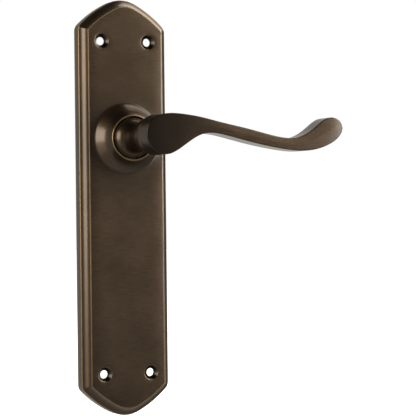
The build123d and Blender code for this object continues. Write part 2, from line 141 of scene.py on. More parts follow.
# ---- return spring ----
WIRE_RADIUS, SPRING_RADIUS, SPRING_TURNS, SPRING_PITCH = 0.75, 12.3, 2.75, 1.56
STEPS_PER_TURN, WIRE_SIDES, LEG_STEPS = 72, 20, 6
SPRING_BACK, LEG_INNER_RADIUS = 4.05, 9.6
FIXED_LEG_ANGLE = 20.6          # degrees from +X towards +Z


# ---- curves ----
def second_derivatives(points, spans, closed):
    """Bends of the cubic through the points, from the usual three-term equations."""
    count = len(points)
    matrix = np.eye(count)
    right = np.zeros_like(points)
    for i in range(count) if closed else range(1, count - 1):
        before, after = spans[i - 1], spans[i % len(spans)]
        previous, following = (i - 1) % count, (i + 1) % count
        matrix[i, i] = 2 * (before + after)
        matrix[i, previous] = before
        matrix[i, following] = after
        rise_after = (points[following] - points[i]) / after
        rise_before = (points[i] - points[previous]) / before
        right[i] = 6 * (rise_after - rise_before)
    return np.linalg.solve(matrix, right)


def curve_through(points, closed=False, samples=24):
    """Smooth curve through given points, as many short straight steps."""
    points = np.array(points, float)
    ends = np.vstack([points, points[:1]]) if closed else points
    spans = np.linalg.norm(np.diff(ends, axis=0), axis=1)
    bends = second_derivatives(points, spans, closed)
    bends = np.vstack([bends, bends[:1]]) if closed else bends
    path = []
    for i, span in enumerate(spans):
        t = np.linspace(0, 1, samples, endpoint=False)[:, None]
        s = 1 - t
        line = s * ends[i] + t * ends[i + 1]
        sag = ((s**3 - s) * bends[i] + (t**3 - t) * bends[i + 1]) * span**2 / 6
        path.append(line + sag)
    if not closed:
        path.append(ends[-1:])
    return np.vstack(path)


def arc_through(start, middle, end, count):
    """Points on the circle through three points, from start to end."""
    a, b, c = (complex(*p) for p in (start, middle, end))
    w = (c - a) / (b - a)
    centre = (b - a) * (w - abs(w) ** 2) / (2j * w.imag) + a
    turn_mid = np.angle((b - centre) / (a - centre))
    turn_end = np.angle((c - centre) / (a - centre))
    if turn_mid * turn_end < 0:
        turn_end += math.copysign(2 * math.pi, turn_mid)
    turns = np.linspace(0, turn_end, count)
    return [((p := centre + (a - centre) * np.exp(1j * t)).real, p.imag) for t in turns]


# ---- mesh building ----
class Builder:
    """Collects rings and faces, sharing the vertices that fall on the same spot."""

    def __init__(self):
        self.points, self.faces, self.wear_and_shade, self.index = [], [], [], {}

    def vertex(self, x, depth, z, wear_and_shade=0.0):
        key = (round(x, 3), round(depth, 3), round(z, 3))
        if key not in self.index:
            self.index[key] = len(self.points)
            self.points.append((x * MM, -depth * MM, z * MM))
            self.wear_and_shade.append(wear_and_shade)
        found = self.index[key]
        self.wear_and_shade[found] = max(self.wear_and_shade[found], wear_and_shade)
        return found

    def ring(self, loop, depth, wear_and_shade=0.0):
        depths = np.broadcast_to(depth, len(loop))
        return [self.vertex(x, d, z, wear_and_shade) for (x, z), d in zip(loop, depths)]

    def strip(self, first, second):
        """Quads between two rings with the same number of points."""
        count = len(first)
        for i in range(count):
            j = (i + 1) % count
            self.face((first[i], first[j], second[j], second[i]))

    def face(self, corners):
        """A face without repeated corners, or nothing when it has closed up."""
        corners = tuple(dict.fromkeys(corners))
        if len(corners) > 2:
            self.faces.append(corners)

    def build(self, name):
        mesh = bpy.data.meshes.new(name)
        mesh.from_pydata(self.points, [], self.faces)
        mesh.update()
        piece = bpy.data.objects.new(name, mesh)
        bpy.context.scene.collection.objects.link(piece)
        add_wear_and_shade(mesh, self.wear_and_shade)
        tidy_mesh(mesh)
        return piece


def add_wear_and_shade(mesh, values):
    """Per point: 1 is rubbed to bare brass, 0 is plain, and -1 gets painted shade, a darker tone for the
    hollows.
    """
    layer = mesh.attributes.new("wear_and_shade", "FLOAT", "POINT")
    layer.data.foreach_set("value", np.asarray(values, np.float32))


def tidy_mesh(mesh, crease_angle=32.0):
    """Outward faces, and smooth shading except across creases."""
    work = bmesh.new()
    work.from_mesh(mesh)
    bmesh.ops.recalc_face_normals(work, faces=work.faces)
    work.to_mesh(mesh)
    work.free()
    mesh.polygons.foreach_set("use_smooth", [True] * len(mesh.polygons))
    mesh.set_sharp_from_angle(angle=math.radians(crease_angle))


def circle(radius, x=0.0, z=0.0, count=BOSS_SIDES):
    """Points round a circle, in (x, z)."""
    turns = np.linspace(0, 2 * math.pi, count, endpoint=False)
    return np.stack([x + radius * np.cos(turns), z + radius * np.sin(turns)], 1)


def inside(points, loop):
    """Which points lie inside a closed loop, by counting the edges to one side."""
    a, b = loop, np.roll(loop, -1, axis=0)
    result = np.zeros(len(points), bool)
    for (x0, z0), (x1, z1) in zip(a, b):
        if z0 == z1:
            continue
        crosses = (z0 > points[:, 1]) != (z1 > points[:, 1])
        result ^= crosses & (points[:, 0] < (x1 - x0) * (points[:, 1] - z0) / (z1 - z0) + x0)
    return result


def flat_region(builder, outer, holes, depth_of, spacing):
    """Triangles that fill the space between an outer loop and round holes."""
    loops = [outer, *[circle(r, x, z, n) for r, x, z, n in holes]]
    low, high = outer.min(0) + spacing / 2, outer.max(0)
    xs, zs = np.arange(low[0], high[0], spacing), np.arange(low[1], high[1], spacing)
    grid = np.array([(x + (j % 2) * spacing / 2, z) for j, z in enumerate(zs) for x in xs])
    centre = outer.mean(0)
    grid = grid[inside(grid, centre + (outer - centre) * 0.975)]
    for r, x, z, _ in holes:
        grid = grid[np.hypot(grid[:, 0] - x, grid[:, 1] - z) > r + spacing * 0.6]
    points, edges = [], []
    for loop in loops:
        first = len(points)
        points.extend(loop)
        edges.extend((first + i, first + (i + 1) % len(loop)) for i in range(len(loop)))
    points.extend(grid)
    made, _, faces, *_ = delaunay_2d_cdt([Vector(p) for p in points], edges, [], 0, 1e-5)
    flat = np.array([tuple(p) for p in made])
    middles = np.array([flat[list(f)].mean(0) for f in faces])
    keep = inside(middles, outer)
    for hole in loops[1:]:
        keep &= ~inside(middles, hole)
    depths = depth_of(flat)
    ids = [builder.vertex(x, d, z) for (x, z), d in zip(flat, depths)]
    for corners in np.array(faces, dtype=object)[keep]:
        builder.face(ids[i] for i in corners)


# ---- backplate ----
def arc_points(centre, radius, start, end, count):
    """Points on an arc. Angles are from vertical, clockwise."""
    turns = np.linspace(start, end, count)
    return centre + radius * np.stack([np.sin(turns), np.cos(turns)], 1)


def plate_quarter(inset):
    """Apex to mid-height on the right-hand side, drawn in by the inset."""
    half_width, half_height = PLATE_WIDTH / 2, PLATE_HEIGHT / 2
    rounding = max(SHOULDER_ROUNDING - MITRE_SHARPENING * inset, MITRE_ROUNDING)
    apex_centre = np.array([0, half_height - APEX_RADIUS])
    lean = math.radians(APEX_HALF_ANGLE)
    toward = np.array([math.sin(lean), math.cos(lean)])
    flank_centre = apex_centre - (FLANK_RADIUS - APEX_RADIUS) * toward
    reach = FLANK_RADIUS - inset - rounding
    flank_end = math.asin((half_width - inset - rounding - flank_centre[0]) / reach)
    round_centre = flank_centre + reach * np.array([math.sin(flank_end), math.cos(flank_end)])
    apex = arc_points(apex_centre, APEX_RADIUS - inset, 0, lean, 12)
    flank = arc_points(flank_centre, FLANK_RADIUS - inset, lean, flank_end, 21)
    shoulder = arc_points(round_centre, rounding, flank_end, math.pi / 2, 10)
    side_z = np.linspace(round_centre[1], 0, 36)[1:]
    side = np.stack([np.full_like(side_z, half_width - inset), side_z], 1)
    return np.vstack([apex, flank[1:], shoulder[1:], side])


def plate_loop(inset):
    """The whole outline, drawn in by the inset, clockwise from the top in the row frame."""
    points = plate_quarter(inset)
    lower_right, lower_left, upper_left = points * [1, -1], points * [-1, -1], points * [-1, 1]
    loop = np.vstack([points, lower_right[-2::-1], lower_left[1:], upper_left[-2:0:-1]])
    return loop + [0, PLATE_CENTRE_Z]


def soft_corner(before, corner, after, count=5):
    """Small rounding from one point to another, bent towards the corner between them."""
    b, c, a = (np.array(p, float) for p in (before, corner, after))
    ts = np.linspace(0, 1, count)
    return [tuple((1 - t) ** 2 * b + 2 * t * (1 - t) * c + t * t * a) for t in ts]


def border_profile():
    """(inset, depth, wear) from the cavity's roof, round the rim and the cove, to the field."""
    soft = ARRIS_SOFTNESS
    chord = np.array([BORDER_WIDTH, FIELD_DEPTH - EDGE_DEPTH])
    across = np.array([chord[1], -chord[0]]) / np.linalg.norm(chord)
    hollow = np.array([0, EDGE_DEPTH]) + chord / 2 + across * COVE_BULGE
    cove = arc_through((0, EDGE_DEPTH), hollow, (BORDER_WIDTH, FIELD_DEPTH), 26)[1:-1]
    outer = soft_corner((0, EDGE_DEPTH - soft), (0, EDGE_DEPTH), cove[0])
    inner = soft_corner(cove[-1], (BORDER_WIDTH, FIELD_DEPTH - FIELD_ROLL_DROP * 0.7),
                        (BORDER_WIDTH + soft, field_depth_at(BORDER_WIDTH + soft)))
    inset = CAVITY_INSET
    cavity = soft_corner((inset + 0.9, CAVITY_DEPTH), (inset, CAVITY_DEPTH), (inset, CAVITY_DEPTH - 0.9), 6)
    plain = [*cavity, (inset, 2.0), (inset, 0.4), (inset - 0.12, 0.1), (inset - 0.4, 0.0), (0.5, 0.0),
             (0.15, 0.12), (0.0, 0.5), (0.0, 2.5), (0.0, EDGE_DEPTH - soft - 0.3)]
    profile = [(i, d, 0.0) for i, d in plain]
    profile += [(i, d, 1.0) for i, d in outer]
    profile += [(i, d, 0.0) for i, d in cove[2:-2]]
    profile += [(i, d, 1.0) for i, d in inner]
    start = BORDER_WIDTH + soft + 0.25
    return profile + [(start, field_depth_at(start), 0.0)]


def field_depth_at(inset):
    """The polished field rolls off very slightly towards its edge."""
    run = np.clip(1 - (np.asarray(inset, float) - BORDER_WIDTH) / FIELD_ROLL_WIDTH, 0, 1)
    return FIELD_DEPTH - FIELD_ROLL_DROP * run**2


def boss_profile():
    """(radius, depth, wear) of the boss from the field over the lip and down to the pocket."""
    bell = curve_through(BOSS_BELL, samples=5)
    lip_side = BOSS_LIP_DEPTH - LIP_CROWN_DROP
    lip = arc_through((LIP_OUTER_RADIUS, lip_side), (LIP_CROWN_RADIUS, BOSS_LIP_DEPTH),
                      (LIP_BORE_RADIUS, lip_side), 9)
    profile = [(r, d, 0.0) for r, d in bell]
    profile += [(r, d, 1.0) for r, d in lip]
    inner = [(LIP_BORE_RADIUS, BOSS_LIP_DEPTH - 0.9), (LIP_BORE_RADIUS, LIP_BORE_FLOOR),
             (BUSH_RADIUS, LIP_BORE_FLOOR), (BUSH_RADIUS, POCKET_DEPTH),
             (POCKET_RADIUS, POCKET_DEPTH), (POCKET_RADIUS, CAVITY_DEPTH)]
    return profile + [(r, d, 0.0) for r, d in inner]


def turned_rings(builder, profile, x=0.0, z=0.0, count=BOSS_SIDES):
    """Rings of a turned shape about a line parallel to the spindle."""
    rings = [builder.ring(circle(r, x, z, count), d, w) for r, d, w in profile]
    for first, second in zip(rings, rings[1:]):
        builder.strip(first, second)
    return rings


def make_plate():
    """The cast plate: border rings, field, boss, fixing holes, hollow back and cassette posts."""
    builder = Builder()
    outline = plate_loop(0.0)
    front = plate_loop(FIELD_START)
    rings = [builder.ring(plate_loop(inset), depth, wear_and_shade) for inset, depth, wear_and_shade in border_profile()]
    rings.append(builder.ring(front, field_depths(front, outline)))
    for first, second in zip(rings, rings[1:]):
        builder.strip(first, second)
    foot = circle(BOSS_EDGE)
    boss_rings = turned_rings(builder, boss_profile())
    builder.strip(builder.ring(foot, field_depths(foot, outline)), boss_rings[0])
    sink_floor = FIELD_DEPTH - (COUNTERSINK_RADIUS - FIXING_HOLE_RADIUS)
    # the deeper part of each countersink is marked -1 for painted shade
    sink = [(COUNTERSINK_RADIUS + 0.35, FIELD_DEPTH, 0.0),
            (COUNTERSINK_RADIUS + 0.08, FIELD_DEPTH - 0.03, 0.35),
            (COUNTERSINK_RADIUS - 0.15, FIELD_DEPTH - 0.2, 0.2),
            (COUNTERSINK_RADIUS - 0.4, FIELD_DEPTH - 0.45, -1.0),
            (FIXING_HOLE_RADIUS + 0.1, sink_floor + 0.08, -1.0), (FIXING_HOLE_RADIUS, sink_floor - 0.1, -1.0),
            (FIXING_HOLE_RADIUS, CAVITY_DEPTH, 0.0)]
    fixings = [(x, PLATE_CENTRE_Z + z) for x in (-FIXING_X, FIXING_X) for z in (-FIXING_Z, FIXING_Z)]
    for x, z in fixings:
        turned_rings(builder, sink, x, z, HOLE_SIDES)
    post = [(POST_RADIUS + 0.6, CAVITY_DEPTH, 0.0), (POST_RADIUS + 0.15, CAVITY_DEPTH - 0.2, 0.0),
            (POST_RADIUS, CAVITY_DEPTH - 0.7, 0.0), (POST_RADIUS, POST_DEPTH + 0.15, 0.0),
            (POST_RADIUS - 0.15, POST_DEPTH, 0.3), (POST_HOLE_RADIUS, POST_DEPTH, 0.0),
            (POST_HOLE_RADIUS, POST_HOLE_DEPTH, 0.0)]
    posts = [(0.0, -POST_OFFSET), (0.0, POST_OFFSET)]
    for x, z in posts:
        builder.face(turned_rings(builder, post, x, z, HOLE_SIDES)[-1])
    holes = [(BOSS_EDGE, 0.0, 0.0, BOSS_SIDES)]
    holes += [(COUNTERSINK_RADIUS + 0.35, x, z, HOLE_SIDES) for x, z in fixings]
    flat_region(builder, front, holes, lambda p: field_depths(p, outline), 2.2)
    roof = plate_loop(CAVITY_INSET + 0.9)
    holes = [(POCKET_RADIUS, 0.0, 0.0, BOSS_SIDES)]
    holes += [(FIXING_HOLE_RADIUS, x, z, HOLE_SIDES) for x, z in fixings]
    holes += [(POST_RADIUS + 0.6, x, z, HOLE_SIDES) for x, z in posts]
    flat_region(builder, roof, holes, lambda p: np.full(len(p), CAVITY_DEPTH), 6.0)
    return builder.build("plate_casting")


def field_depths(points, outline):
    """Depth of the field at each point, from its distance to the plate's outline."""
    inset = distance_to_loop(points, outline)
    tail = BELL_TAIL * np.exp((BELL_TAIL_RADIUS - np.hypot(*points.T)) / BELL_TAIL_REACH)
    depths = field_depth_at(inset) + tail * np.clip((inset - FIELD_START) / 1.5, 0, 1)
    near_hole = np.hypot(np.abs(points[:, 0]) - FIXING_X, np.abs(points[:, 1] - PLATE_CENTRE_Z) - FIXING_Z)
    return np.where(near_hole < COUNTERSINK_RADIUS + 0.4, FIELD_DEPTH, depths)


# ---- distances ----
def distance_to_loop(points, loop):
    """Distance from each point to the nearest straight step of a closed loop."""
    best = np.full(len(points), np.inf)
    for start, end in zip(loop, np.roll(loop, -1, axis=0)):
        step = end - start
        length = step @ step
        if length < 1e-12:
            continue
        along = np.clip((points - start) @ step / length, 0, 1)
        gap = points - start - along[:, None] * step
        best = np.minimum(best, np.einsum("ij,ij->i", gap, gap))
    return np.sqrt(best)


class DistanceMap:
    """Signed distance to a closed loop, negative inside, read from a fine square table."""

    def __init__(self, loop, margin, step):
        self.low = loop.min(0) - margin
        self.step = step
        self.shape = np.ceil((loop.max(0) + margin - self.low) / step).astype(int) + 2
        axes = [self.low[i] + step * np.arange(self.shape[i]) for i in (0, 1)]
        grid = np.stack(np.meshgrid(*axes, indexing="ij"), -1).reshape(-1, 2)
        sign = np.where(inside(grid, loop), -1.0, 1.0)
        self.table = (sign * distance_to_loop(grid, loop)).reshape(self.shape)

    def __call__(self, a, b):
        u = np.clip((a - self.low[0]) / self.step, 0, self.shape[0] - 1.001)
        v = np.clip((b - self.low[1]) / self.step, 0, self.shape[1] - 1.001)
        i, j = u.astype(int), v.astype(int)
        p, q = u - i, v - j
        t = self.table
        low = t[i, j] * (1 - q) + t[i, j + 1] * q
        high = t[i + 1, j] * (1 - q) + t[i + 1, j + 1] * q
        return low * (1 - p) + high * p


def rounded_corner(u, v, radius):
    """Intersection of two fields with a rounded edge where they meet."""
    outside = np.hypot(np.maximum(u + radius, 0), np.maximum(v + radius, 0))
    return np.minimum(np.maximum(u, v) + radius, 0) + outside - radius


def soft_ramp(distance, softness=8.0):
    """Zero below, then rising at a slope of one, with a gentle start."""
    return softness * np.log1p(np.exp(np.clip(distance / softness, -30, 30)))


def soft_union(u, v, softness):
    """Union of two fields with a fillet where they meet."""
    blend = np.maximum(softness - np.abs(u - v), 0) / softness
    return np.minimum(u, v) - blend**2 * softness / 4


# ---- lever ----
class LeverShape:
    """The lever casting as one signed field, in millimetres."""

    def __init__(self):
        self.outline = DistanceMap(curve_through(LEVER_OUTLINE, closed=True), 3.0, 0.2)
        curve = curve_through(NECK_CURVE)
        profile = np.vstack([[(0, NECK_START), (8.95, NECK_START)], curve, [(6.0, 50.0), (0, 50.0)]])
        mirrored = (profile * [-1, 1])[-2:0:-1]
        self.neck = DistanceMap(np.vstack([profile, mirrored]), 3.0, 0.1)

    def arm_fields(self, x, depth, z):
        """Distance past the sides, and past the front or back, before the edges are rounded."""
        edge = self.outline(x, z)
        run = np.clip(1 + edge / CROWN_WIDTH, 0, 1) ** 2
        lean = HEAD_TILT * soft_ramp(HEAD_TILT_END - x)
        front = depth - (LEVER_FRONT - FRONT_CROWN * run - lean)
        back = ARM_BACK + BACK_CROWN * run - depth
        return edge, front, back

    def __call__(self, points):
        x, depth, z = points.T
        side, front, back = self.arm_fields(x, depth, z)
        arm = rounded_corner(side, front, ARM_EDGE_RADIUS)
        arm = rounded_corner(arm, back, BACK_EDGE_RADIUS)
        neck = self.neck(np.hypot(x, z), depth)
        fade = np.clip((NECK_JOIN_END - depth) / (NECK_JOIN_END - ARM_BACK + 0.5), 0.05, 1)
        whole = soft_union(arm, neck, NECK_JOIN_SOFTNESS * fade)
        socket = np.maximum(np.maximum(np.abs(x), np.abs(z)) - SOCKET_HALF, depth - SOCKET_END)
        return np.maximum(whole, -socket)

    def slope(self, points, reach=0.02):
        steps = np.eye(3) * reach
        return np.stack([(self(points + s) - self(points - s)) / (2 * reach) for s in steps], 1)

    def wear_and_shade(self, points):
        """Rubbed where the front face meets the sides."""
        side, front, _ = self.arm_fields(*points.T)
        near = np.maximum(np.abs(side), np.abs(front))
        return np.clip(1.0 - near / 0.55, 0, 1) ** 0.7


def surface_net(shape, low, high, step):
    """Quad mesh of the surface where a field is zero, with one point in each crossed cell."""
    axes = [np.arange(low[i], high[i] + step, step) for i in range(3)]
    size = [len(a) for a in axes]
    grid = np.stack(np.meshgrid(*axes, indexing="ij"), -1).reshape(-1, 3)
    values = np.concatenate([shape(part) for part in np.array_split(grid, 24)]).reshape(size)
    filled = values < 0
    cells = np.array(size) - 1
    total = np.zeros((*cells, 3))
    crossings = np.zeros(cells)
    index = np.stack(np.meshgrid(*[np.arange(c) for c in cells], indexing="ij"), -1).astype(float)
    for axis in range(3):
        others = [a for a in range(3) if a != axis]
        for corner in range(4):
            start = [slice(0, c) for c in cells]
            shift = np.zeros(3)
            for bit, other in enumerate(others):
                if corner >> bit & 1:
                    start[other] = slice(1, cells[other] + 1)
                    shift[other] = 1
            end = list(start)
            end[axis] = slice(1, cells[axis] + 1)
            a, b = values[tuple(start)], values[tuple(end)]
            cross = (a < 0) != (b < 0)
            gap = np.where(cross, a - b, 1.0)
            share = np.where(cross, a / gap, 0.0)
            place = index + shift
            place[..., axis] += share
            total += np.where(cross[..., None], place, 0)
            crossings += cross
    used = crossings > 0
    names = np.full(cells, -1)
    names[used] = np.arange(used.sum())
    points = np.array(low) + step * total[used] / crossings[used][:, None]
    faces = []
    for axis in range(3):
        b, c = (axis + 1) % 3, (axis + 2) % 3
        inner = [slice(0, s) for s in size]
        inner[axis] = slice(0, size[axis] - 1)
        for other in (b, c):
            inner[other] = slice(1, size[other] - 1)
        ahead = list(inner)
        ahead[axis] = slice(1, size[axis])
        here, there = filled[tuple(inner)], filled[tuple(ahead)]
        where = np.argwhere(here != there)
        place = where.copy()
        place[:, [b, c]] += 1
        quad = []
        for shift_b, shift_c in ((0, 0), (1, 0), (1, 1), (0, 1)):
            cell = place.copy()
            cell[:, b] -= shift_b
            cell[:, c] -= shift_c
            quad.append(names[cell[:, 0], cell[:, 1], cell[:, 2]])
        quad = np.stack(quad, 1)
        flip = here[tuple(where.T)]
        quad[~flip] = quad[~flip][:, ::-1]
        faces.append(quad)
    return points, np.vstack(faces)


def make_lever():
    """The lever casting: neck flange, waisted neck, head, waved arm and upturned tip."""
    shape = LeverShape()
    low, high = size_of("lever")
    margin = 1.0
    start = (low.x - margin, NECK_START - margin, low.z - margin)
    stop = (high.x + margin, LEVER_FRONT + margin, high.z + margin)
    points, faces = surface_net(shape, start, stop, LEVER_STEP)
    for _ in range(4):
        slope = shape.slope(points)
        steep = np.maximum(np.einsum("ij,ij->i", slope, slope), 0.25)
        move = (shape(points) / steep)[:, None] * slope
        points = points - np.clip(move, -LEVER_STEP / 3, LEVER_STEP / 3)
    placed = points * [MM, -MM, MM]
    mesh = bpy.data.meshes.new("lever_casting")
    mesh.from_pydata(placed.tolist(), [], faces.tolist())
    mesh.update()
    piece = bpy.data.objects.new("lever_casting", mesh)
    bpy.context.scene.collection.objects.link(piece)
    add_wear_and_shade(mesh, shape.wear_and_shade(points))
    tidy_mesh(mesh, 60.0)
    return piece


def flatted_circle(radius, flat, count=SHANK_SIDES):
    """Circle cut by a flat above and a flat below."""
    loop = circle(radius, count=count)
    loop[:, 1] = np.clip(loop[:, 1], -flat, flat)
    return loop


def square_loop(half, count=SHANK_SIDES):
    """Square with the same number of points as the shank's rings, at matching angles."""
    turns = np.linspace(0, 2 * math.pi, count, endpoint=False)
    ways = np.stack([np.cos(turns), np.sin(turns)], 1)
    return ways * (half / np.abs(ways).max(1))[:, None]


def make_shank():
    """Journal, two-flat drive and circlip groove behind the neck flange, with the square socket."""
    builder = Builder()
    small = 0.25
    outer = [
        (flatted_circle(SHANK_RADIUS - small, SHANK_FLAT_HALF - small), SHANK_BACK),
        (flatted_circle(SHANK_RADIUS, SHANK_FLAT_HALF), SHANK_BACK + 0.15),
        (flatted_circle(SHANK_RADIUS, SHANK_FLAT_HALF), GROOVE_START),
        (flatted_circle(GROOVE_RADIUS, SHANK_FLAT_HALF), GROOVE_START + 0.001),
        (flatted_circle(GROOVE_RADIUS, SHANK_FLAT_HALF), GROOVE_END),
        (flatted_circle(SHANK_RADIUS, SHANK_FLAT_HALF), GROOVE_END + 0.001),
        (flatted_circle(SHANK_RADIUS, SHANK_FLAT_HALF), FLATS_END),
        (circle(SHANK_RADIUS, count=SHANK_SIDES), FLATS_END + 0.001),
        (circle(SHANK_RADIUS, count=SHANK_SIDES), FLANGE_BACK),
        (circle(FLANGE_EDGE[0][0] - 0.15, count=SHANK_SIDES), FLANGE_BACK),
        (circle(FLANGE_EDGE[0][0], count=SHANK_SIDES), FLANGE_BACK + 0.15),
        *[(circle(r, count=SHANK_SIDES), d) for r, d in FLANGE_EDGE],
    ]
    inner = [
        (square_loop(SOCKET_HALF), FLANGE_EDGE[-1][1]),
        (square_loop(SOCKET_HALF), SHANK_BACK + 0.4),
        (square_loop(SOCKET_HALF + small), SHANK_BACK),
    ]
    rings = [builder.ring(loop, depth) for loop, depth in outer + inner]
    for first, second in zip(rings, rings[1:] + rings[:1]):
        builder.strip(first, second)
    return builder.build("lever_shank")


# ---- return spring ----
def make_spring():
    """Torsion spring: fixed leg in at the back, coil, moving leg in at the front."""
    turns = np.linspace(0, SPRING_TURNS, int(SPRING_TURNS * STEPS_PER_TURN))
    angle = np.radians(FIXED_LEG_ANGLE - 360 * turns)
    depth = SPRING_BACK + SPRING_PITCH * turns
    coil = np.stack([SPRING_RADIUS * np.cos(angle), depth, SPRING_RADIUS * np.sin(angle)], 1)

    def leg(end_angle, end_depth):
        radii = np.linspace(LEG_INNER_RADIUS, SPRING_RADIUS - 1.0, LEG_STEPS)
        return np.array([(r * math.cos(end_angle), end_depth, r * math.sin(end_angle)) for r in radii])

    path = np.vstack([leg(angle[0], depth[0]), coil[3:-3], leg(angle[-1], depth[-1])[::-1]])
    tangent = np.gradient(path, axis=0)
    tangent /= np.linalg.norm(tangent, axis=1)[:, None]
    side = np.cross(tangent, [0.0, 1.0, 0.0])
    side /= np.linalg.norm(side, axis=1)[:, None]
    up = np.cross(side, tangent)
    builder = Builder()
    rings = []
    for centre, s, u in zip(path, side, up):
        loop = [centre + WIRE_RADIUS * (math.cos(t) * s + math.sin(t) * u)
                for t in np.linspace(0, 2 * math.pi, WIRE_SIDES, endpoint=False)]
        rings.append([builder.vertex(*p) for p in loop])
    for first, second in zip(rings, rings[1:]):
        builder.strip(first, second)
    builder.face(rings[0])
    builder.face(rings[-1])
    return builder.build("torsion_spring")


# ---- node helpers ----
class Nodes:
    """A material's node tree with short calls for the nodes used here."""

    def __init__(self, name):
        self.material = bpy.data.materials.new(name)
        self.material.use_nodes = True
        self.tree = self.material.node_tree
        self.shader = self.tree.nodes["Principled BSDF"]
        self.place = self.add("ShaderNodeTexCoord").outputs["Object"]

    def add(self, kind, **settings):
        node = self.tree.nodes.new(kind)
        for key, value in settings.items():
            setattr(node, key, value)
        return node

    def link(self, source, target):
        self.tree.links.new(source, target)

    def stretched(self, scale):
        """Object coordinates, in metres, stretched along each axis."""
        node = self.add("ShaderNodeMapping")
        node.inputs["Scale"].default_value = scale
        self.link(self.place, node.inputs["Vector"])
        return node.outputs["Vector"]

    def noise(self, scale, detail=3.0, roughness=0.55, stretch=(1, 1, 1)):
        node = self.add("ShaderNodeTexNoise")
        node.inputs["Scale"].default_value = scale
        node.inputs["Detail"].default_value = detail
        node.inputs["Roughness"].default_value = roughness
        self.link(self.stretched(stretch), node.inputs["Vector"])
        return node.outputs["Fac"]

    def spread(self, value, low, high, to_low=0.0, to_high=1.0):
        node = self.add("ShaderNodeMapRange")
        node.inputs["From Min"].default_value = low
        node.inputs["From Max"].default_value = high
        node.inputs["To Min"].default_value = to_low
        node.inputs["To Max"].default_value = to_high
        self.link(value, node.inputs["Value"])
        return node.outputs["Result"]

    def math(self, operation, first, second):
        node = self.add("ShaderNodeMath", operation=operation)
        for socket, value in zip(node.inputs, (first, second)):
            if isinstance(value, (int, float)):
                socket.default_value = value
            else:
                self.link(value, socket)
        return node.outputs["Value"]

    def mix(self, share, first, second):
        node = self.add("ShaderNodeMix", data_type="RGBA")
        self.link(share, node.inputs["Factor"])
        for socket, value in ((node.inputs["A"], first), (node.inputs["B"], second)):
            if isinstance(value, tuple):
                socket.default_value = (*value, 1.0)
            else:
                self.link(value, socket)
        return node.outputs["Result"]

    def bump(self, height, strength, distance, under=None):
        node = self.add("ShaderNodeBump")
        node.inputs["Strength"].default_value = strength
        node.inputs["Distance"].default_value = distance
        self.link(height, node.inputs["Height"])
        if under is not None:
            self.link(under, node.inputs["Normal"])
        return node.outputs["Normal"]

    def shade_ring(self, outer, inner):
        """A ring round the spindle axis, full at the inner radius and gone at the outer, in metres."""
        node = self.add("ShaderNodeSeparateXYZ")
        self.link(self.place, node.inputs["Vector"])
        squares = [self.math("MULTIPLY", node.outputs[axis], node.outputs[axis]) for axis in "XZ"]
        radius = self.math("POWER", self.math("ADD", *squares), 0.5)
        begins = self.spread(radius, inner - SHADE_RING_EDGE, inner)
        return self.math("MULTIPLY", begins, self.spread(radius, outer, inner))

    def along(self, axis, start, end):
        """Rises from 0 to 1 between two distances along an axis, in metres."""
        node = self.add("ShaderNodeSeparateXYZ")
        self.link(self.place, node.inputs["Vector"])
        return self.spread(node.outputs[axis], start, end)

    def attribute(self, name):
        return self.add("ShaderNodeAttribute", attribute_name=name).outputs["Fac"]

    def set(self, **values):
        for key, value in values.items():
            self.shader.inputs[key.replace("_", " ")].default_value = value


# ---- finishes ----
PATINA_DARK, PATINA_LIGHT = (0.060, 0.038, 0.020), (0.116, 0.075, 0.044)
BARE_BRASS = (0.42, 0.28, 0.13)
# painted shade: the darker tone of the lever head's front face
HEAD_FACE_SHADE_TONE = (0.027, 0.0175, 0.0100)
PAINTED_SHADE_TONE = (0.020, 0.0135, 0.0055)              # painted shade: a darker olive tone for the hollows
BOSS_SHADE_RING, SHADE_RING_EDGE = (0.0290, 0.0172), 0.0015         # ring of painted shade round the boss foot: outer and inner radius, and the width of its inner fade, in metres
SHADE_RING_STRENGTH = 0.75
FACE_SHADE_FADE_X = (0.006, 0.036)        # metres along the lever over which the painted shade on the head's front face fades out
BEHIND_FACE = (-0.0565, -0.052)  # y over which the painted shade on the head's face gives way behind it


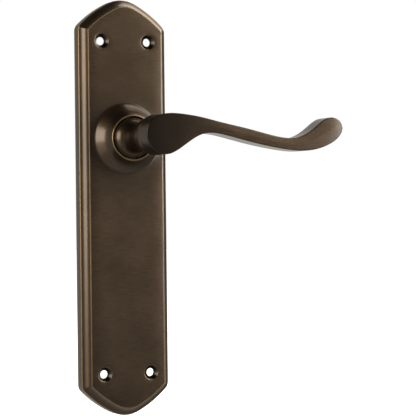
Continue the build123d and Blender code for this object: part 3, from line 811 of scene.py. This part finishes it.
def antique_brass(name, brushed_along, roughness=0.42, worn=1.0, face_shade_fade_x=None, shade_ring=None, depth=1.0,
                  coat=1.0):
    """Dark oxidised brass, finely brushed, rubbed back to gold on the arrises, and lacquered."""
    n = Nodes(name)
    grain_stretch = tuple(1.0 if axis == brushed_along else 26.0 for axis in "XYZ")
    grain = n.noise(150.0, 4.0, 0.65, grain_stretch)
    fine = n.noise(900.0, 2.0, 0.5, grain_stretch)
    cloud = n.noise(38.0, 4.0, 0.6)
    specks = n.noise(1400.0, 2.0, 0.5)
    tone = n.spread(n.math("ADD", n.math("MULTIPLY", grain, 0.7), n.math("MULTIPLY", cloud, 0.6)), 0.48, 0.82)
    dark, light = [tuple(depth * c for c in colour) for colour in (PATINA_DARK, PATINA_LIGHT)]
    patina = n.mix(tone, dark, light)
    if face_shade_fade_x:
        # painted shade: the head's front face is darker, fading out along the arm and behind the face
        outside_face_shade = n.math("MAXIMUM", n.along("X", *face_shade_fade_x), n.along("Y", *BEHIND_FACE))
        patina = n.mix(outside_face_shade, HEAD_FACE_SHADE_TONE, patina)
    wear_and_shade = n.attribute("wear_and_shade")
    # painted shade: points marked below zero, and a ring round the boss foot, get a darker olive tone
    painted_shade = n.spread(wear_and_shade, 0.0, -1.0)
    if shade_ring:
        # painted shade: a ring round the boss foot, broken up by the cloud
        cloudy = n.math("MULTIPLY", n.shade_ring(*shade_ring), n.spread(cloud, 0.35, 0.65, 0.25, 1.0))
        painted_shade = n.math("MAXIMUM", painted_shade, n.math("MULTIPLY", cloudy, SHADE_RING_STRENGTH))
    patina = n.mix(painted_shade, patina, PAINTED_SHADE_TONE)
    broken = n.spread(n.math("ADD", cloud, n.math("MULTIPLY", specks, 0.5)), 0.5, 1.0, 0.55, 1.0)
    rubbed = n.math("MULTIPLY", n.math("MAXIMUM", wear_and_shade, 0.0), n.math("MULTIPLY", broken, worn))
    n.link(n.mix(rubbed, patina, BARE_BRASS), n.shader.inputs["Base Color"])
    rough = n.math("ADD", n.spread(grain, 0.3, 0.7, roughness - 0.06, roughness + 0.07),
                   n.math("MULTIPLY", rubbed, -0.12))
    n.link(rough, n.shader.inputs["Roughness"])
    height = n.bump(fine, 0.10, 0.00004)
    height = n.bump(grain, 0.25, 0.00007, height)
    n.link(n.bump(cloud, 0.05, 0.0006, height), n.shader.inputs["Normal"])
    n.set(Metallic=1.0, Coat_Weight=coat, Coat_Roughness=0.2)
    return n.material


def steel(name, colour, roughness, tint=None):
    """Plated or ground steel with faint handling marks."""
    n = Nodes(name)
    cloud = n.noise(90.0, 3.0, 0.6)
    grain = n.noise(700.0, 3.0, 0.6, (1, 8, 1))
    second = tint or tuple(0.72 * c for c in colour)
    n.link(n.mix(n.spread(cloud, 0.35, 0.7), second, colour), n.shader.inputs["Base Color"])
    n.link(n.spread(grain, 0.3, 0.7, roughness - 0.06, roughness + 0.1), n.shader.inputs["Roughness"])
    n.link(n.bump(grain, 0.15, 0.00005), n.shader.inputs["Normal"])
    n.set(Metallic=1.0)
    return n.material


def plastic(name, colour, roughness):
    """Moulded acetal with a slight bloom."""
    n = Nodes(name)
    cloud = n.noise(160.0, 3.0, 0.6)
    pores = n.noise(2200.0, 2.0, 0.5)
    n.link(n.mix(cloud, tuple(0.88 * c for c in colour), colour), n.shader.inputs["Base Color"])
    n.link(n.spread(pores, 0.3, 0.7, roughness - 0.05, roughness + 0.08), n.shader.inputs["Roughness"])
    n.link(n.bump(pores, 0.12, 0.00003), n.shader.inputs["Normal"])
    return n.material


FINISHES = {
    "antique_brass_plate": antique_brass("antique_brass_plate", "X", shade_ring=BOSS_SHADE_RING),
    "antique_brass_lever": antique_brass("antique_brass_lever", "X", roughness=0.40, worn=0.05,
                                         face_shade_fade_x=FACE_SHADE_FADE_X, depth=0.84, coat=0.75),
    "bush_plastic": plastic("bush_plastic", (0.72, 0.70, 0.62), 0.45),
    "zinc_steel": steel("zinc_steel", (0.60, 0.60, 0.57), 0.34, (0.48, 0.49, 0.50)),
    "screw_steel": steel("screw_steel", (0.66, 0.62, 0.50), 0.30, (0.56, 0.56, 0.54)),
    "pin_steel": steel("pin_steel", (0.55, 0.55, 0.55), 0.28),
    "spring_steel": steel("spring_steel", (0.22, 0.22, 0.23), 0.32),
    "cam_steel": steel("cam_steel", (0.42, 0.40, 0.37), 0.48),
}


def dress(piece, slot):
    """Give a piece its finish."""
    piece.data.materials.clear()
    piece.data.materials.append(FINISHES[slot])


def dress_cad_nodes():
    """The inner pieces keep their CAD shape and get their real finish."""
    for part in frame["record"]["subparts"]:
        dress(frame["nodes"][part["node"]], part["material_slot"])


# ---- camera, light and floor ----
CAMERA_AZIMUTH, CAMERA_ELEVATION, CAMERA_ROLL = -25.41, -0.52, -0.67
CAMERA_DISTANCE = 0.8976
CAMERA_TARGET = (0.0478, 0.0, -0.0335)
CAMERA_LENS = 156.45


def make_camera():
    """Long lens a little left of the plate and level with its middle."""
    turn, rise, roll = (math.radians(a) for a in (CAMERA_AZIMUTH, CAMERA_ELEVATION, CAMERA_ROLL))
    back = Vector((math.sin(turn) * math.cos(rise), -math.cos(turn) * math.cos(rise), math.sin(rise)))
    right = Vector((math.cos(turn), math.sin(turn), 0))
    up = back.cross(right)
    right_rolled = right * math.cos(roll) + up * math.sin(roll)
    up_rolled = up * math.cos(roll) - right * math.sin(roll)
    data = bpy.data.cameras.new("camera")
    data.lens = CAMERA_LENS
    data.clip_start, data.clip_end = 0.01, 20
    camera = bpy.data.objects.new("camera", data)
    axes = Matrix((right_rolled, up_rolled, back)).transposed()
    camera.matrix_world = Matrix.Translation(Vector(CAMERA_TARGET) + back * CAMERA_DISTANCE) @ axes.to_4x4()
    bpy.context.scene.collection.objects.link(camera)
    bpy.context.scene.camera = camera


def softbox(name, place, aim, size, watts, colour=(1, 1, 1)):
    """Rectangular studio light that faces a point and isn't itself seen."""
    data = bpy.data.lights.new(name, "AREA")
    data.shape = "RECTANGLE"
    data.size, data.size_y = size
    data.energy = watts
    data.color = colour
    lamp = bpy.data.objects.new(name, data)
    lamp.location = place
    lamp.rotation_mode = "QUATERNION"
    lamp.rotation_quaternion = (Vector(aim) - Vector(place)).to_track_quat("-Z", "Y")
    lamp.visible_camera = False
    bpy.context.scene.collection.objects.link(lamp)


def make_lights():
    """Large soft boxes left and right, and two behind for the edges."""
    centre = (0.0, 0.0, -0.03)
    softbox("left_box", (-0.84, -0.26, 0.17), centre, (0.60, 0.56), 4.7, WARM)
    softbox("left_low_box", (-0.80, -0.26, -0.34), centre, (0.60, 0.44), 0.45, WARM)
    softbox("right_box", (0.62, -0.62, 0.17), centre, (0.26, 0.60), 3.2)
    softbox("upper_right_box", (0.58, 0.14, 0.62), centre, (0.80, 0.80), 5.0, WARM)
    softbox("rear_right_box", (0.75, 0.60, 0.20), centre, (0.40, 0.50), 1.6, WARM)
    softbox("rear_card", (0.20, 0.14, -0.03), (0.08, -0.05, 0.0), (0.30, 0.40), 0.12)


# The dim room: which way, from where to where, and how bright at each end.
ROOM = [("Z", -0.2, 0.7, 0.22, 0.03), ("Y", 0.1, 0.8, 0.0, 0.2), ("Z", -1.0, -0.35, 0.22, 0.0)]
WARM = (1.0, 0.93, 0.83)


def make_world():
    """White beyond the object, and a much dimmer room in its reflections."""
    world = bpy.data.worlds.new("studio")
    bpy.context.scene.world = world
    world.use_nodes = True
    tree = world.node_tree
    tree.nodes.clear()
    out = tree.nodes.new("ShaderNodeOutputWorld")
    seen, reflected = tree.nodes.new("ShaderNodeBackground"), tree.nodes.new("ShaderNodeBackground")
    seen.inputs["Color"].default_value = (1, 1, 1, 1)
    seen.inputs["Strength"].default_value = 1.0
    reflected.inputs["Color"].default_value = (*WARM, 1)
    way, parts = tree.nodes.new("ShaderNodeTexCoord"), tree.nodes.new("ShaderNodeSeparateXYZ")
    tree.links.new(way.outputs["Generated"], parts.inputs["Vector"])
    strength = None
    for axis, start, end, at_start, at_end in ROOM:
        fade = tree.nodes.new("ShaderNodeMapRange")
        for key, value in (("From Min", start), ("From Max", end), ("To Min", at_start), ("To Max", at_end)):
            fade.inputs[key].default_value = value
        tree.links.new(parts.outputs[axis], fade.inputs["Value"])
        total = tree.nodes.new("ShaderNodeMath")
        total.inputs[0].default_value = 0.0
        if strength is not None:
            tree.links.new(strength, total.inputs[0])
        tree.links.new(fade.outputs["Result"], total.inputs[1])
        strength = total.outputs["Value"]
    tree.links.new(strength, reflected.inputs["Strength"])
    rays, mix = tree.nodes.new("ShaderNodeLightPath"), tree.nodes.new("ShaderNodeMixShader")
    tree.links.new(rays.outputs["Is Camera Ray"], mix.inputs["Fac"])
    tree.links.new(reflected.outputs["Background"], mix.inputs[1])
    tree.links.new(seen.outputs["Background"], mix.inputs[2])
    tree.links.new(mix.outputs["Shader"], out.inputs["Surface"])


def make_floor():
    """Plain near-white floor just under the plate's lower point."""
    builder = Builder()
    rings = [builder.ring(circle(r, 0, 0, SHANK_SIDES), 0.0) for r in (20.0, 300.0, 1500.0, 6000.0)]
    for first, second in zip(rings, rings[1:]):
        builder.strip(first, second)
    builder.face(rings[0])
    floor = builder.build("floor")
    floor.rotation_euler = (math.radians(90), 0, 0)
    floor.location = (0, 0, CAD_BOX[0].z - 0.0005)
    n = Nodes("pale_floor")
    cloud = n.noise(3.0, 2.0)
    n.link(n.mix(cloud, (0.93, 0.93, 0.925), (0.95, 0.95, 0.945)), n.shader.inputs["Base Color"])
    n.set(Roughness=0.9, Emission_Color=(1, 1, 1, 1), Emission_Strength=1.1)
    floor.data.materials.append(n.material)
    floor.visible_glossy = floor.visible_diffuse = False


make_camera()
make_lights()
make_world()
make_floor()
dress_cad_nodes()

plate = make_plate()
dress(plate, "antique_brass_plate")
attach(plate, "plate")
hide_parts("backplate")

lever = make_lever()
dress(lever, "antique_brass_lever")
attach(lever, "handle")
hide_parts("lever")

shank = make_shank()
dress(shank, "antique_brass_lever")
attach(shank, "handle")

spring = make_spring()
dress(spring, "spring_steel")
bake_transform(spring)
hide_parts("return_spring")

bpy.context.scene.view_settings.view_transform = "Standard"
bpy.context.view_layer.update()
